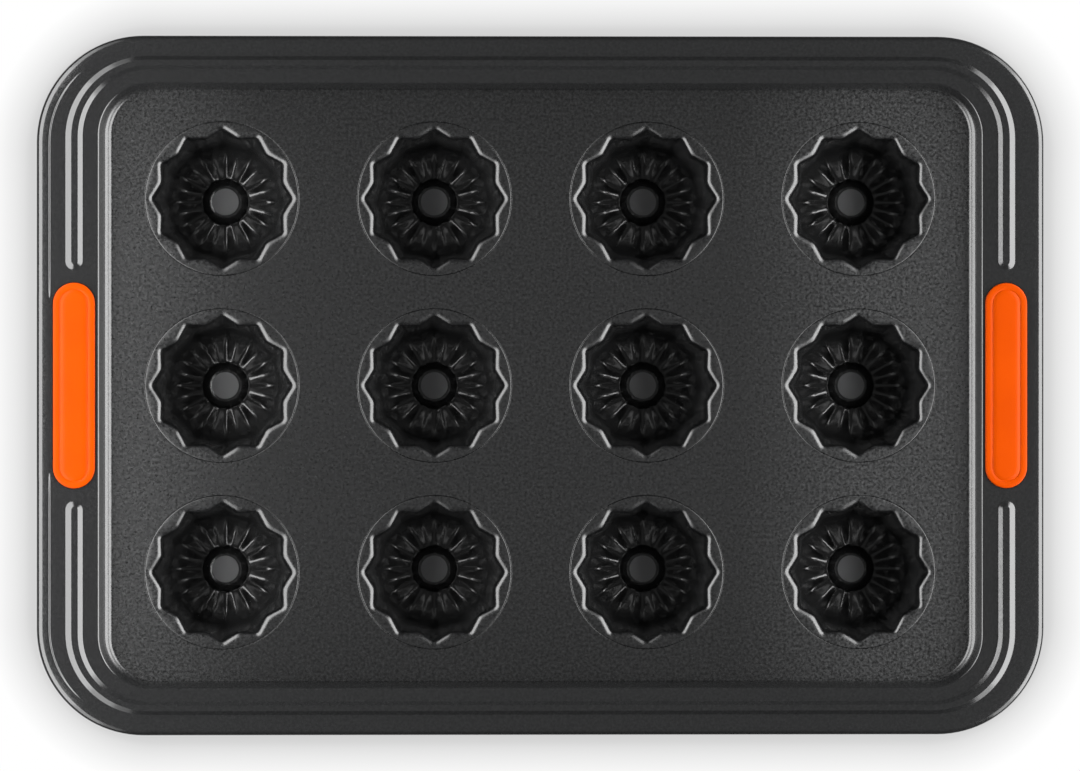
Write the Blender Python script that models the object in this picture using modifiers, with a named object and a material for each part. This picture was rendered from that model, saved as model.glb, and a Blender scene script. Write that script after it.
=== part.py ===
"""A twelve-cup canele pan: a pressed steel tray with a wired edge, twelve fluted cups clinched into
its deck, and two silicone grips pressed through slots in its side flanges.

Metres, +Z up, +X along the pan. The cups stand on z = 0, and the pan is centred on the Z axis.
"""

import math

import bmesh
import bpy

# Sheet thicknesses, and the gap left between pieces that touch
TRAY_SHEET = 0.0008
CUP_SHEET = 0.0005
FIT_GAP = 0.0003

# Cups: a star-shaped mouth that narrows to a round foot with a raised boss in its middle
CUP_COLUMNS = 4
CUP_ROWS = 3
LOBES = 12
CUP_DEPTH = 0.045
MOUTH_LOBE_RADIUS = 0.0288
MOUTH_RIDGE_RADIUS = 0.02465
LOBE_TAPER = math.radians(8.4)
RIDGE_TAPER = math.radians(4.0)
CUP_CORNER_RADIUS = 0.007
CUP_BEND = math.radians(42)
BOSS_FOOT_RADIUS = 0.0094
BOSS_TOP_RADIUS = 0.0058
BOSS_HEIGHT = 0.004

# Seam between cup and deck: the hole's collar is turned down and the cup's edge hooks round it
FOLD_GAP = 0.0005
COLLAR_DEPTH = 0.0026
HOOK_HEIGHT = 0.0014

# Deck: the metal left between neighbouring holes, and from the outer holes to its edge
COLUMN_BRIDGE = 0.0232
ROW_BRIDGE = 0.01295
DECK_BORDER = 0.0124
DECK_CORNER_RADIUS = 0.0168
CORNER_STEPS = 6

# Wall from the deck up to the flange
RIM_RISE = 0.008
WALL_ANGLE = math.radians(75)
WALL_LIP_RADIUS = 0.0012
WALL_FOOT_RADIUS = 0.0034
MOST_CURVED_SHARE = 0.9
END_WALL_SHARE = 0.7

# Flange: its raised ridge runs round the pan and stops short of the grips
END_FLANGE_WIDTH = 0.0116
RIDGE_HEIGHT = 0.0014
RIDGE_FLANK = 0.0025
SIDE_RIDGE_CROWN = 0.0020
END_RIDGE_CROWN = 0.0013
END_RIDGE_INSET = 0.0051
RIDGE_STOP = 0.0058
RIDGE_RUNOUT = 0.0034

# Edge rolled round a steel wire
WIRE_DIAMETER = 0.0024
CURL_STEP = math.radians(45)
CURL_STEPS = 5
BEAD_STEP_WIDTH = 0.0008
BEAD_STEP_DEPTH = 0.0004

# Grips: one moulding each, with a pad on both faces of the flange and a web through its slot
GRIP_LENGTH = 0.0816
GRIP_WIDTH = 0.0170
GRIP_BORDER = 0.0008
GRIP_LAP = 0.0030
GRIP_PAD = 0.0013
GRIP_EDGE = 0.0005
GROOVE_INSET = 0.0030
GROOVE_HALF_WIDTH = 0.0005
GROOVE_DEPTH = 0.0004

SMOOTH_ANGLE = math.radians(25)

# Sizes that follow from those above
RING_POINTS = 2 * LOBES


def lobe_wall_reach():
    """How far the outside of a lobe's crest stands beyond its inside, along the radius."""
    turn = math.pi / LOBES
    along_x = MOUTH_LOBE_RADIUS - MOUTH_RIDGE_RADIUS * math.cos(turn)
    along_y = MOUTH_RIDGE_RADIUS * math.sin(turn)
    return CUP_SHEET * math.hypot(along_x, along_y) / along_y


DECK_TOP = CUP_DEPTH + CUP_SHEET
FLANGE_TOP = DECK_TOP + RIM_RISE
CUP_FLANGE_RADIUS = MOUTH_LOBE_RADIUS + lobe_wall_reach() + FOLD_GAP + CUP_SHEET
HOLE_RADIUS = CUP_FLANGE_RADIUS + FIT_GAP
COLUMN_PITCH = 2 * HOLE_RADIUS + COLUMN_BRIDGE
ROW_PITCH = 2 * HOLE_RADIUS + ROW_BRIDGE
DECK_HALF_X = COLUMN_PITCH * (CUP_COLUMNS - 1) / 2 + HOLE_RADIUS + DECK_BORDER
DECK_HALF_Y = ROW_PITCH * (CUP_ROWS - 1) / 2 + HOLE_RADIUS + DECK_BORDER
SIDE_FLANGE_WIDTH = GRIP_WIDTH + 2 * GRIP_BORDER
BEAD_RADIUS = (WIRE_DIAMETER / 2 + FIT_GAP + TRAY_SHEET) / math.cos(CURL_STEP / 2)
BEAD_Z = FLANGE_TOP - BEAD_STEP_DEPTH - BEAD_RADIUS
GRIP_STOP = GRIP_LENGTH / 2 + RIDGE_STOP


def wall_stations():
    """Runs outward from the deck's edge, and heights above the deck, of the wall up to the flange."""
    turn = 1 - math.cos(WALL_ANGLE)
    foot_radius = min(WALL_FOOT_RADIUS, MOST_CURVED_SHARE * RIM_RISE / turn - WALL_LIP_RADIUS)
    straight = RIM_RISE - (foot_radius + WALL_LIP_RADIUS) * turn
    foot = [
        (foot_radius * math.sin(WALL_ANGLE * share), foot_radius * (1 - math.cos(WALL_ANGLE * share)))
        for share in (0, 0.5, 1)
    ]
    run = foot[-1][0] + straight / math.tan(WALL_ANGLE)
    top = run + WALL_LIP_RADIUS * math.sin(WALL_ANGLE)
    return foot + [(run, foot[-1][1] + straight), (top, RIM_RISE)]


WALL_RUN = wall_stations()[-1][0]
RIM_SIDE = WALL_RUN + SIDE_FLANGE_WIDTH + BEAD_STEP_WIDTH + 2 * BEAD_RADIUS
END_WALL_RUN = WALL_RUN * END_WALL_SHARE
RIM_END = END_WALL_RUN + END_FLANGE_WIDTH + BEAD_STEP_WIDTH + 2 * BEAD_RADIUS
PAN_HALF_X = DECK_HALF_X + RIM_SIDE
GRIP_X = PAN_HALF_X - 2 * BEAD_RADIUS - BEAD_STEP_WIDTH - SIDE_FLANGE_WIDTH / 2


def clear_scene():
    for old in list(bpy.data.objects):
        bpy.data.objects.remove(old, do_unlink=True)


def new_collection(name):
    collection = bpy.data.collections.new(name)
    bpy.context.scene.collection.children.link(collection)
    return collection


def new_material(name, colour, roughness, metallic):
    material = bpy.data.materials.new(name)
    material.use_nodes = True
    shader = material.node_tree.nodes["Principled BSDF"]
    shader.inputs["Base Color"].default_value = (*colour, 1.0)
    shader.inputs["Roughness"].default_value = roughness
    shader.inputs["Metallic"].default_value = metallic
    material.diffuse_color = (*colour, 1.0)
    return material


def coated_steel():
    """Dark grey non-stick coating over steel."""
    return new_material("nonstick_coating", (0.042, 0.043, 0.046), 0.32, 0.3)


def bare_steel():
    return new_material("steel_wire", (0.42, 0.42, 0.43), 0.4, 1.0)


def orange_silicone():
    return new_material("orange_silicone", (0.95, 0.13, 0.006), 0.5, 0.0)


def ring_of(bm, points):
    return [bm.verts.new(point) for point in points]


def loft(bm, rings):
    """Skins the rings in turn. They run anticlockwise, so the skin faces up where they close in."""
    for first, second in zip(rings, rings[1:]):
        for i in range(len(first)):
            after = (i + 1) % len(first)
            bm.faces.new((first[i], first[after], second[after], second[i]))


def add_mesh_object(name, bm, material, collection):
    mesh = bpy.data.meshes.new(name)
    bm.to_mesh(mesh)
    bm.free()
    mesh.shade_smooth()
    mesh.set_sharp_from_angle(angle=SMOOTH_ANGLE)
    if material:
        mesh.materials.append(material)
    made = bpy.data.objects.new(name, mesh)
    collection.objects.link(made)
    return made


def thicken(made, thickness):
    """Gives an open surface its sheet thickness, on the side it faces away from."""
    solidify = made.modifiers.new("sheet", "SOLIDIFY")
    solidify.thickness = thickness
    solidify.offset = -1
    solidify.use_even_offset = True


def rounded_outline(half_x, half_y, radius, stops=()):
    """Points round a rounded rectangle, anticlockwise, with extra ones on its sides where given."""
    points = []
    for quarter, (side, end) in enumerate(((1, -1), (1, 1), (-1, 1), (-1, -1))):
        for step in range(CORNER_STEPS + 1):
            angle = (quarter - 1 + step / CORNER_STEPS) * math.pi / 2
            x = side * (half_x - radius) + radius * math.cos(angle)
            y = end * (half_y - radius) + radius * math.sin(angle)
            points.append((x, y))
        if quarter in (0, 2):
            points += [(side * half_x, side * stop) for stop in stops]
    return points


def round_outline(radius, centre=(0, 0)):
    """Points round a circle that a cup's lobes and ridges line up with."""
    angles = [2 * math.pi * i / RING_POINTS for i in range(RING_POINTS)]
    return [(centre[0] + radius * math.cos(a), centre[1] + radius * math.sin(a)) for a in angles]


def cup_centres():
    """Row, column and place of each cup, from the far left of the pan."""
    for row in range(CUP_ROWS):
        for column in range(CUP_COLUMNS):
            x = (column - (CUP_COLUMNS - 1) / 2) * COLUMN_PITCH
            y = ((CUP_ROWS - 1) / 2 - row) * ROW_PITCH
            yield row + 1, column + 1, (x, y)


def rim_outline(side_run, end_run, z, ridge=0):
    """A ring of the rim, by its runs outward from the deck. The ridge sinks away beside the grips."""
    stops = (-GRIP_STOP - RIDGE_RUNOUT, -GRIP_STOP, GRIP_STOP, GRIP_STOP + RIDGE_RUNOUT)
    radius = DECK_CORNER_RADIUS + (side_run + end_run) / 2
    flat = rounded_outline(DECK_HALF_X + side_run, DECK_HALF_Y + end_run, radius, stops)
    beside_grip = GRIP_STOP + RIDGE_RUNOUT / 2
    return [(x, y, z + (ridge if abs(y) > beside_grip else 0)) for x, y in flat]


def curl_outlines():
    """The rolled edge, from its free edge under the flange, round the wire and back over it to the step."""
    for step in range(CURL_STEPS + 1):
        angle = -CURL_STEP * (1 + step)
        inward = BEAD_RADIUS * (1 + math.cos(angle))
        yield rim_outline(RIM_SIDE - inward, RIM_END - inward, BEAD_Z + BEAD_RADIUS * math.sin(angle))
    yield rim_outline(RIM_SIDE - 2 * BEAD_RADIUS, RIM_END - 2 * BEAD_RADIUS, BEAD_Z + BEAD_RADIUS)


def ridge_outlines():
    """The flange's ridge, from the foot of its outer flank to the foot of its inner one."""
    side_middle = WALL_RUN + SIDE_FLANGE_WIDTH / 2
    end_middle = END_WALL_RUN + END_FLANGE_WIDTH - END_RIDGE_INSET
    for outward, flanks, height in ((1, 1, 0), (1, 0, RIDGE_HEIGHT), (-1, 0, RIDGE_HEIGHT), (-1, 1, 0)):
        side = side_middle + outward * (SIDE_RIDGE_CROWN / 2 + flanks * RIDGE_FLANK)
        end = end_middle + outward * (END_RIDGE_CROWN / 2 + flanks * RIDGE_FLANK)
        yield rim_outline(side, end, FLANGE_TOP, height)


def add_tray_sheet(material, collection, cutters):
    """One sheet: curled edge, ridged flange, wall, and deck with a collar turned down at each hole."""
    bm = bmesh.new()
    outlines = list(curl_outlines())
    outlines.append(rim_outline(WALL_RUN + SIDE_FLANGE_WIDTH, END_WALL_RUN + END_FLANGE_WIDTH, FLANGE_TOP))
    outlines += ridge_outlines()
    for run, height in reversed(wall_stations()):
        outlines.append(rim_outline(run, run * END_WALL_SHARE, DECK_TOP + height))
    rings = [ring_of(bm, outline) for outline in outlines]
    loft(bm, rings)
    bounds = [rings[-1]]
    for _, _, centre in cup_centres():
        circle = round_outline(HOLE_RADIUS, centre)
        hole = ring_of(bm, [(x, y, DECK_TOP) for x, y in circle])
        collar = ring_of(bm, [(x, y, DECK_TOP - COLLAR_DEPTH) for x, y in circle])
        loft(bm, [hole, collar])
        bounds.append(hole)
    edges = [bm.edges.get((ring[i - 1], ring[i])) for ring in bounds for i in range(len(ring))]
    filled = bmesh.ops.triangle_fill(bm, use_beauty=True, edges=edges, normal=(0, 0, 1))
    deck = [face for face in filled["geom"] if isinstance(face, bmesh.types.BMFace)]
    bmesh.ops.reverse_faces(bm, faces=[face for face in deck if face.normal.z < 0])
    tray = add_mesh_object("tray_sheet", bm, material, collection)
    thicken(tray, TRAY_SHEET)
    for side in (-1, 1):
        slot = tray.modifiers.new("grip slot", "BOOLEAN")
        slot.operation = "DIFFERENCE"
        slot.object = add_slot_cutter(side, cutters)
    return tray


def grip_outline(inset):
    """The grip's round-ended outline, drawn in on all sides."""
    half_width = GRIP_WIDTH / 2 - inset
    return rounded_outline(half_width, GRIP_LENGTH / 2 - inset, half_width)


def add_slot_cutter(side, cutters):
    """A block with the outline of the slot that the grip's web fills, taller than the sheet both ways."""
    bm = bmesh.new()
    reach = 2 * TRAY_SHEET
    outline = grip_outline(GRIP_LAP - FIT_GAP)
    rings = [ring_of(bm, [(x, y, z) for x, y in outline]) for z in (reach, -reach)]
    bm.faces.new(rings[0])
    loft(bm, rings[::-1])
    bm.faces.new(rings[1][::-1])
    cutter = add_mesh_object("grip_slot_cutter", bm, None, cutters)
    cutter.location = (side * GRIP_X, 0, FLANGE_TOP)
    cutter.hide_render = True
    cutter.display_type = "WIRE"
    return cutter


def add_rim_wire(material, collection):
    """The steel wire inside the rolled edge, a closed loop round the pan."""
    curve = bpy.data.curves.new("rim_wire", "CURVE")
    curve.dimensions = "3D"
    curve.bevel_depth = WIRE_DIAMETER / 2
    curve.bevel_resolution = 2
    run_side, run_end = RIM_SIDE - BEAD_RADIUS, RIM_END - BEAD_RADIUS
    radius = DECK_CORNER_RADIUS + (run_side + run_end) / 2
    points = rounded_outline(DECK_HALF_X + run_side, DECK_HALF_Y + run_end, radius)
    spline = curve.splines.new("POLY")
    spline.points.add(len(points) - 1)
    for point, (x, y) in zip(spline.points, points):
        point.co = (x, y, 0, 1)
    spline.use_cyclic_u = True
    curve.materials.append(material)
    wire = bpy.data.objects.new("rim_wire", curve)
    wire.location = (0, 0, BEAD_Z)
    collection.objects.link(wire)
    return wire


def star_outline(lobe_radius, ridge_radius, z):
    """A ring of a cup, with a point on each lobe's crest and each ridge's."""
    points = round_outline(1)
    radii = [lobe_radius, ridge_radius] * LOBES
    return [(x * radius, y * radius, z) for (x, y), radius in zip(points, radii)]


def cup_stations():
    """Lobe radius, ridge radius and height from the deck of a cup's rings, from hooked edge to boss."""
    hook_floor = -COLLAR_DEPTH - FIT_GAP
    hook_radius = HOLE_RADIUS + TRAY_SHEET + FIT_GAP
    corner_depth = CUP_DEPTH - CUP_CORNER_RADIUS * (1 - math.sin(LOBE_TAPER))
    bend_depth = CUP_DEPTH - CUP_CORNER_RADIUS * (1 - math.cos(CUP_BEND))
    lobe_corner = MOUTH_LOBE_RADIUS - corner_depth * math.tan(LOBE_TAPER)
    ridge_corner = MOUTH_RIDGE_RADIUS - corner_depth * math.tan(RIDGE_TAPER)
    lobe_foot = lobe_corner - CUP_CORNER_RADIUS * math.cos(LOBE_TAPER)
    ridge_foot = ridge_corner - CUP_CORNER_RADIUS * math.cos(LOBE_TAPER)
    bend = CUP_CORNER_RADIUS * math.sin(CUP_BEND)
    return (
        (hook_radius, hook_radius, hook_floor + HOOK_HEIGHT),
        (hook_radius, hook_radius, hook_floor),
        (CUP_FLANGE_RADIUS, CUP_FLANGE_RADIUS, hook_floor),
        (CUP_FLANGE_RADIUS, CUP_FLANGE_RADIUS, 0),
        (MOUTH_LOBE_RADIUS, MOUTH_RIDGE_RADIUS, 0),
        (lobe_corner, ridge_corner, -corner_depth),
        (lobe_foot + bend, ridge_foot + bend, -bend_depth),
        (lobe_foot, ridge_foot, -CUP_DEPTH),
        (BOSS_FOOT_RADIUS, BOSS_FOOT_RADIUS, -CUP_DEPTH),
        (BOSS_TOP_RADIUS, BOSS_TOP_RADIUS, BOSS_HEIGHT - CUP_DEPTH),
    )


def add_cups(material, collection):
    """Twelve cups that share one mesh, each drawn from its own blank and clinched into a hole."""
    bm = bmesh.new()
    rings = [ring_of(bm, star_outline(*station)) for station in cup_stations()]
    loft(bm, rings)
    bm.faces.new(rings[-1])
    shared = None
    for row, column, (x, y) in cup_centres():
        name = f"cup_row{row}_col{column}"
        if shared is None:
            cup = add_mesh_object(name, bm, material, collection)
            shared = cup.data
        else:
            cup = bpy.data.objects.new(name, shared)
            collection.objects.link(cup)
        cup.location = (x, y, DECK_TOP)
        thicken(cup, CUP_SHEET)


def grip_stations():
    """Insets from the pad's outline, and heights above the flange, from the lower face to the top one."""
    above = FIT_GAP + GRIP_PAD
    below = -TRAY_SHEET - above
    return (
        (GRIP_EDGE, below),
        (0, below + GRIP_EDGE),
        (0, -TRAY_SHEET - FIT_GAP),
        (GRIP_LAP, -TRAY_SHEET - FIT_GAP),
        (GRIP_LAP, FIT_GAP),
        (0, FIT_GAP),
        (0, above - GRIP_EDGE),
        (GRIP_EDGE, above),
        (GROOVE_INSET, above),
        (GROOVE_INSET + GROOVE_HALF_WIDTH, above - GROOVE_DEPTH),
        (GROOVE_INSET + 2 * GROOVE_HALF_WIDTH, above),
    )


def add_grip(name, side, material, collection):
    """A silicone moulding that clips over the slot's edge, with a groove round the panel on its top."""
    bm = bmesh.new()
    rings = [ring_of(bm, [(x, y, z) for x, y in grip_outline(inset)]) for inset, z in grip_stations()]
    bm.faces.new(rings[0][::-1])
    loft(bm, rings)
    bm.faces.new(rings[-1])
    grip = add_mesh_object(name, bm, material, collection)
    grip.location = (side * GRIP_X, 0, FLANGE_TOP)


def build():
    clear_scene()
    pan = new_collection("canele_pan")
    cutters = new_collection("cutters")
    coating = coated_steel()
    silicone = orange_silicone()
    add_tray_sheet(coating, pan, cutters)
    add_rim_wire(bare_steel(), pan)
    add_cups(coating, pan)
    add_grip("grip_left", -1, silicone, pan)
    add_grip("grip_right", 1, silicone, pan)


build()
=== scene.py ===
"""A twelve-cup canele pan of coated steel with two orange silicone grips, seen from straight above."""

import math

import bmesh
import bpy
from mathutils import Matrix, Vector


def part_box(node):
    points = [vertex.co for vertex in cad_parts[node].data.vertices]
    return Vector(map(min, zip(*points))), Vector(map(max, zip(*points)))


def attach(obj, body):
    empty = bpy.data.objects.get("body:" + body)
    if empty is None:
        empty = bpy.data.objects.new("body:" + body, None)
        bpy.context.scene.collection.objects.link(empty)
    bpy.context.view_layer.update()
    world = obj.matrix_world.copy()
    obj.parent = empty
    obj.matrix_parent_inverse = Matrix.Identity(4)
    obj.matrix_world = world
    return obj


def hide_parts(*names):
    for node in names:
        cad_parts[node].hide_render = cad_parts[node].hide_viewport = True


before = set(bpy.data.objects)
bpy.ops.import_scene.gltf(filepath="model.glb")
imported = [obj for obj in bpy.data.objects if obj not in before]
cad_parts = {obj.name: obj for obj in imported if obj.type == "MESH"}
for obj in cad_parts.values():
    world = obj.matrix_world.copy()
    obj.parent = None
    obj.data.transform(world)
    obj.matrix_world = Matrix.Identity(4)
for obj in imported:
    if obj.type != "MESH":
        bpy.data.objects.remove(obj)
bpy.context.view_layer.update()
bpy.ops.object.select_all(action="DESELECT")


# The tray is one pressed sheet of steel, coated on both faces. Its edge is rolled round a wire, a
# raised ridge stiffens the flange, and a steep wall drops to the deck. The deck has twelve round
# holes, each with its edge turned down to hold a cup.
SHEET = 0.0008
DECK_TOP = 0.0455
FLANGE_TOP = 0.0535
TRAY_HALF_X, TRAY_HALF_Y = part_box("tray_sheet")[1].xy
DECK_CORNER = 0.0168
CORNER_SEGMENTS = 24
TRAY_CREASE = 33
TOUCHING = 0.000001

# The rim's width at the sides, which carry the grips, and at the ends, where its wall is steeper
SIDE_RIM = 0.0299
END_RIM = 0.02137
END_FOOT_SHARE = 0.25
END_WALL_SHARE = 0.85

# A loop this far beside a crease keeps the shading of the flat next to it flat
HOLDING = 0.0002

# The wall's foot, as runs outward from the deck with the slope there in degrees, then its face and lip
WALL_SLOPE = 70.5
FOOT_SLOPES = (
    (0, 0),
    (0.0010, 34),
    (0.00135, 38),
    (0.0016, 47),
    (0.0019, 47),
    (0.0021, 38),
    (0.0029, 38),
    (0.0031, WALL_SLOPE),
)
FOOT_STEPS = 4
LIP_RADIUS = 0.00115
LIP_STEPS = 8

# The ridge, flat on top between two flanks, which stops short of each grip in a round nose
RIDGE_HEIGHT = 0.00125
RIDGE_EASE = 0.13
RIDGE_CROWN_SIDE = 0.00115
RIDGE_CROWN_END = 0.00085
RIDGE_FLANK_SIDE = 0.0024
RIDGE_FLANK_END = 0.0020
SIDE_RIDGE_INSET = 0.01508
END_RIDGE_INSET = 0.01088
RIDGE_STEPS = 24
RIDGE_STOP = 0.0458
NOSE_STEPS = 10

# The rolled edge, a small step below the flange
BEAD_RADIUS = 0.00249
BEAD_DROP = 0.0004
STEP_RUN = 0.0005
STEP_RINGS = 4
CURL_TURN = 315
CURL_STEPS = 24

# The step shows along the left side only: it fades out from this place inwards, and beside the grip
STEP_END_X = -0.1945
STEP_END_Y = 0.0375
STEP_FADE_X = 0.014
STEP_FADE_Y = 0.002
LOOPS_BESIDE_GRIP = (0.0345, 0.0355, STEP_END_Y)
FLANGE_INSET_SIDE = 0.0235
FLANGE_INSET_END = 0.0178

HOLE_RADIUS = 0.030735
HOLE_EDGE = 0.0002
HOLE_EDGE_SEGMENTS = 4
HOLE_BORDER = 0.0004
HOLE_SEGMENTS = 96
COLLAR = 0.0026


def sheet_in_edit():
    return bmesh.from_edit_mesh(bpy.context.object.data)


def picked():
    """The vertices that are selected in edit mode."""
    return [vertex for vertex in sheet_in_edit().verts if vertex.select]


def pick(vertices):
    """Selects these vertices, and the edges between them, for the next operator."""
    bpy.ops.mesh.select_all(action="DESELECT")
    for vertex in vertices:
        vertex.select_set(True)
    sheet = sheet_in_edit()
    sheet.select_flush(True)
    bmesh.update_edit_mesh(bpy.context.object.data)


def pick_where(test):
    """Selects every vertex whose place passes the test."""
    pick([vertex for vertex in sheet_in_edit().verts if test(vertex.co)])


def take_up(piece):
    """Makes this the only selected object, and the active one."""
    bpy.ops.object.select_all(action="DESELECT")
    piece.select_set(True)
    bpy.context.view_layer.objects.active = piece


class RoundedOutline:
    """A loop of edges in edit mode, in the shape of a rounded rectangle, that is drawn out ring by ring."""

    def __init__(self, half_x, half_y, radius, z, segments):
        self.size = (half_x, half_y, radius, z)
        bpy.ops.mesh.primitive_plane_add(size=2, location=(0, 0, 0))
        bpy.ops.object.mode_set(mode="EDIT")
        # Held here, because the vertices in the ring are lost with it
        self.sheet = sheet_in_edit()
        bpy.ops.transform.translate(value=(0, 0, z))
        bpy.ops.transform.resize(value=(half_x, half_y, 1))
        bpy.ops.mesh.bevel(affect="VERTICES", offset=radius, offset_type="OFFSET", segments=segments)
        bpy.ops.mesh.select_all(action="SELECT")
        bpy.ops.mesh.remove_doubles(threshold=TOUCHING)
        bpy.ops.mesh.delete(type="ONLY_FACE")
        bpy.ops.mesh.select_mode(type="VERT")
        bpy.ops.mesh.select_all(action="SELECT")
        self.ring = picked()

    def draw_to(self, half_x, half_y, radius, z):
        """Extrudes the newest ring and moves its four corners to the next outline."""
        old_x, old_y, old_radius, old_z = self.size
        grown = radius / old_radius
        pick(self.ring)
        bpy.ops.mesh.extrude_edges_indiv()
        self.ring = picked()
        for side in (1, -1):
            for end in (1, -1):
                pick([v for v in self.ring if (v.co.x >= 0) == (side > 0) and (v.co.y >= 0) == (end > 0)])
                centre = (side * (old_x - old_radius), end * (old_y - old_radius), old_z)
                bpy.ops.transform.resize(value=(grown, grown, 1), center_override=centre)
                shift_x = side * ((half_x - radius) - (old_x - old_radius))
                shift_y = end * ((half_y - radius) - (old_y - old_radius))
                bpy.ops.transform.translate(value=(shift_x, shift_y, z - old_z))
        self.size = (half_x, half_y, radius, z)


def smooth_rise(share):
    return share * share * (3 - 2 * share)


def eased(share, ease):
    """Runs from 0 to 1 in a straight line that is rounded, over this share of its length, at both ends."""
    if share < ease:
        rise = share * share / (2 * ease)
    elif share < 1 - ease:
        rise = share - ease / 2
    else:
        rise = 1 - ease - (1 - share) * (1 - share) / (2 * ease)
    return rise / (1 - ease)


def ridge_height(distance, crown, flank):
    """Height of the ridge at a distance from its middle line: flat on top, with sloped flanks."""
    return RIDGE_HEIGHT * (1 - eased(min(max((distance - crown) / flank, 0), 1), RIDGE_EASE))


def arc(radius, start, end, steps):
    """Runs and rises along an arc from one slope in degrees to another, measured from where it starts."""
    start, end = math.radians(start), math.radians(end)
    for step in range(1, steps + 1):
        slope = start + (end - start) * step / steps
        run = radius * abs(math.sin(slope) - math.sin(start))
        rise = radius * abs(math.cos(start) - math.cos(slope))
        yield run, rise


def wall_stations():
    """Runs outward from the deck and rises above it: the wall's foot, its face and its lip."""
    stations = []
    rise = 0
    for (run, slope), (next_run, next_slope) in zip(FOOT_SLOPES, FOOT_SLOPES[1:]):
        part_run = (next_run - run) / FOOT_STEPS
        for step in range(FOOT_STEPS):
            half_way = slope + (next_slope - slope) * (step + 0.5) / FOOT_STEPS
            rise += part_run * math.tan(math.radians(half_way))
            stations.append((run + part_run * (step + 1), rise))
    run, rise = stations[-1]
    lip = list(arc(LIP_RADIUS, WALL_SLOPE, 0, LIP_STEPS))
    top = FLANGE_TOP - DECK_TOP - lip[-1][1]
    run += (top - rise) / math.tan(math.radians(WALL_SLOPE))
    stations.append((run, top))
    stations += [(run + out, top + up) for out, up in lip]
    run, rise = stations[-1]
    return stations + [(run + HOLDING, rise)]


def rim_stations():
    """Insets from the pan's edge at a side and at an end, and heights, from the deck out to the curl."""
    rim = []
    foot = FOOT_SLOPES[-1][0]
    for run, rise in wall_stations():
        end_run = min(run, foot) * END_FOOT_SHARE + max(run - foot, 0) * END_WALL_SHARE
        rim.append((SIDE_RIM - run, END_RIM - end_run, DECK_TOP + rise))
    side_ridge = RIDGE_CROWN_SIDE + RIDGE_FLANK_SIDE
    end_ridge = RIDGE_CROWN_END + RIDGE_FLANK_END
    side_hold, end_hold = side_ridge + HOLDING, end_ridge + HOLDING
    rim.append((SIDE_RIDGE_INSET + side_hold, END_RIDGE_INSET + end_hold, FLANGE_TOP))
    for step in range(-RIDGE_STEPS, RIDGE_STEPS + 1):
        off_side, off_end = side_ridge * step / RIDGE_STEPS, end_ridge * step / RIDGE_STEPS
        height = ridge_height(abs(off_side), RIDGE_CROWN_SIDE, RIDGE_FLANK_SIDE)
        rim.append((SIDE_RIDGE_INSET - off_side, END_RIDGE_INSET - off_end, FLANGE_TOP + height))
    rim.append((SIDE_RIDGE_INSET - side_hold, END_RIDGE_INSET - end_hold, FLANGE_TOP))
    flange_edge = 2 * BEAD_RADIUS + STEP_RUN
    rim.append((flange_edge + HOLDING, flange_edge + HOLDING, FLANGE_TOP))
    for step in range(STEP_RINGS + 1):
        inset = flange_edge - STEP_RUN * step / STEP_RINGS
        rim.append((inset, inset, FLANGE_TOP - BEAD_DROP * smooth_rise(step / STEP_RINGS)))
    bead_z = FLANGE_TOP - BEAD_DROP - BEAD_RADIUS
    rim.append((2 * BEAD_RADIUS - HOLDING, 2 * BEAD_RADIUS - HOLDING, bead_z + BEAD_RADIUS))
    for step in range(CURL_STEPS + 1):
        angle = math.radians(90 - CURL_TURN * step / CURL_STEPS)
        inset = BEAD_RADIUS * (1 - math.cos(angle))
        rim.append((inset, inset, bead_z + BEAD_RADIUS * math.sin(angle)))
    return rim


deck_x, deck_y = TRAY_HALF_X - SIDE_RIM, TRAY_HALF_Y - END_RIM
rim = RoundedOutline(deck_x - HOLDING, deck_y - HOLDING, DECK_CORNER - HOLDING, DECK_TOP, CORNER_SEGMENTS)
tray = bpy.context.object
tray.name = "tray"
rim.draw_to(deck_x, deck_y, DECK_CORNER, DECK_TOP)
for side_inset, end_inset, z in rim_stations():
    radius = DECK_CORNER + (SIDE_RIM - side_inset + END_RIM - end_inset) / 2
    rim.draw_to(TRAY_HALF_X - side_inset, TRAY_HALF_Y - end_inset, radius, z)

# Loops across the side flanges, close together where the ridge runs out beside a grip
side_ridge = RIDGE_CROWN_SIDE + RIDGE_FLANK_SIDE
nose_y = RIDGE_STOP + side_ridge
nose_loops = [RIDGE_STOP + side_ridge * step / NOSE_STEPS for step in range(NOSE_STEPS + 1)]
for y in [*LOOPS_BESIDE_GRIP, *nose_loops]:
    for place in (y, -y):
        bpy.ops.mesh.select_all(action="SELECT")
        bpy.ops.mesh.bisect(plane_co=(0, place, 0), plane_no=(0, 1, 0))

# The ridge sinks into a round nose beside each grip, and the step down to the bead runs out
ridge_x = TRAY_HALF_X - SIDE_RIDGE_INSET
half_way_up = (DECK_TOP + FLANGE_TOP) / 2
for vertex in sheet_in_edit().verts:
    x, y, z = vertex.co
    if abs(y) < nose_y and abs(abs(x) - ridge_x) < side_ridge and z > half_way_up:
        distance = math.hypot(abs(x) - ridge_x, abs(y) - nose_y)
        vertex.co.z = FLANGE_TOP + ridge_height(distance, RIDGE_CROWN_SIDE, RIDGE_FLANK_SIDE)
    beyond_lip = abs(x) > TRAY_HALF_X - FLANGE_INSET_SIDE or abs(y) > TRAY_HALF_Y - FLANGE_INSET_END
    if beyond_lip and z < FLANGE_TOP:
        past_left = (x - STEP_END_X) / STEP_FADE_X
        beside_grip = (STEP_END_Y - abs(y)) / STEP_FADE_Y
        lifted = smooth_rise(min(max(past_left, beside_grip, 0), 1))
        vertex.co.z += min(FLANGE_TOP - z, BEAD_DROP) * lifted
bpy.ops.object.mode_set(mode="OBJECT")

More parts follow.
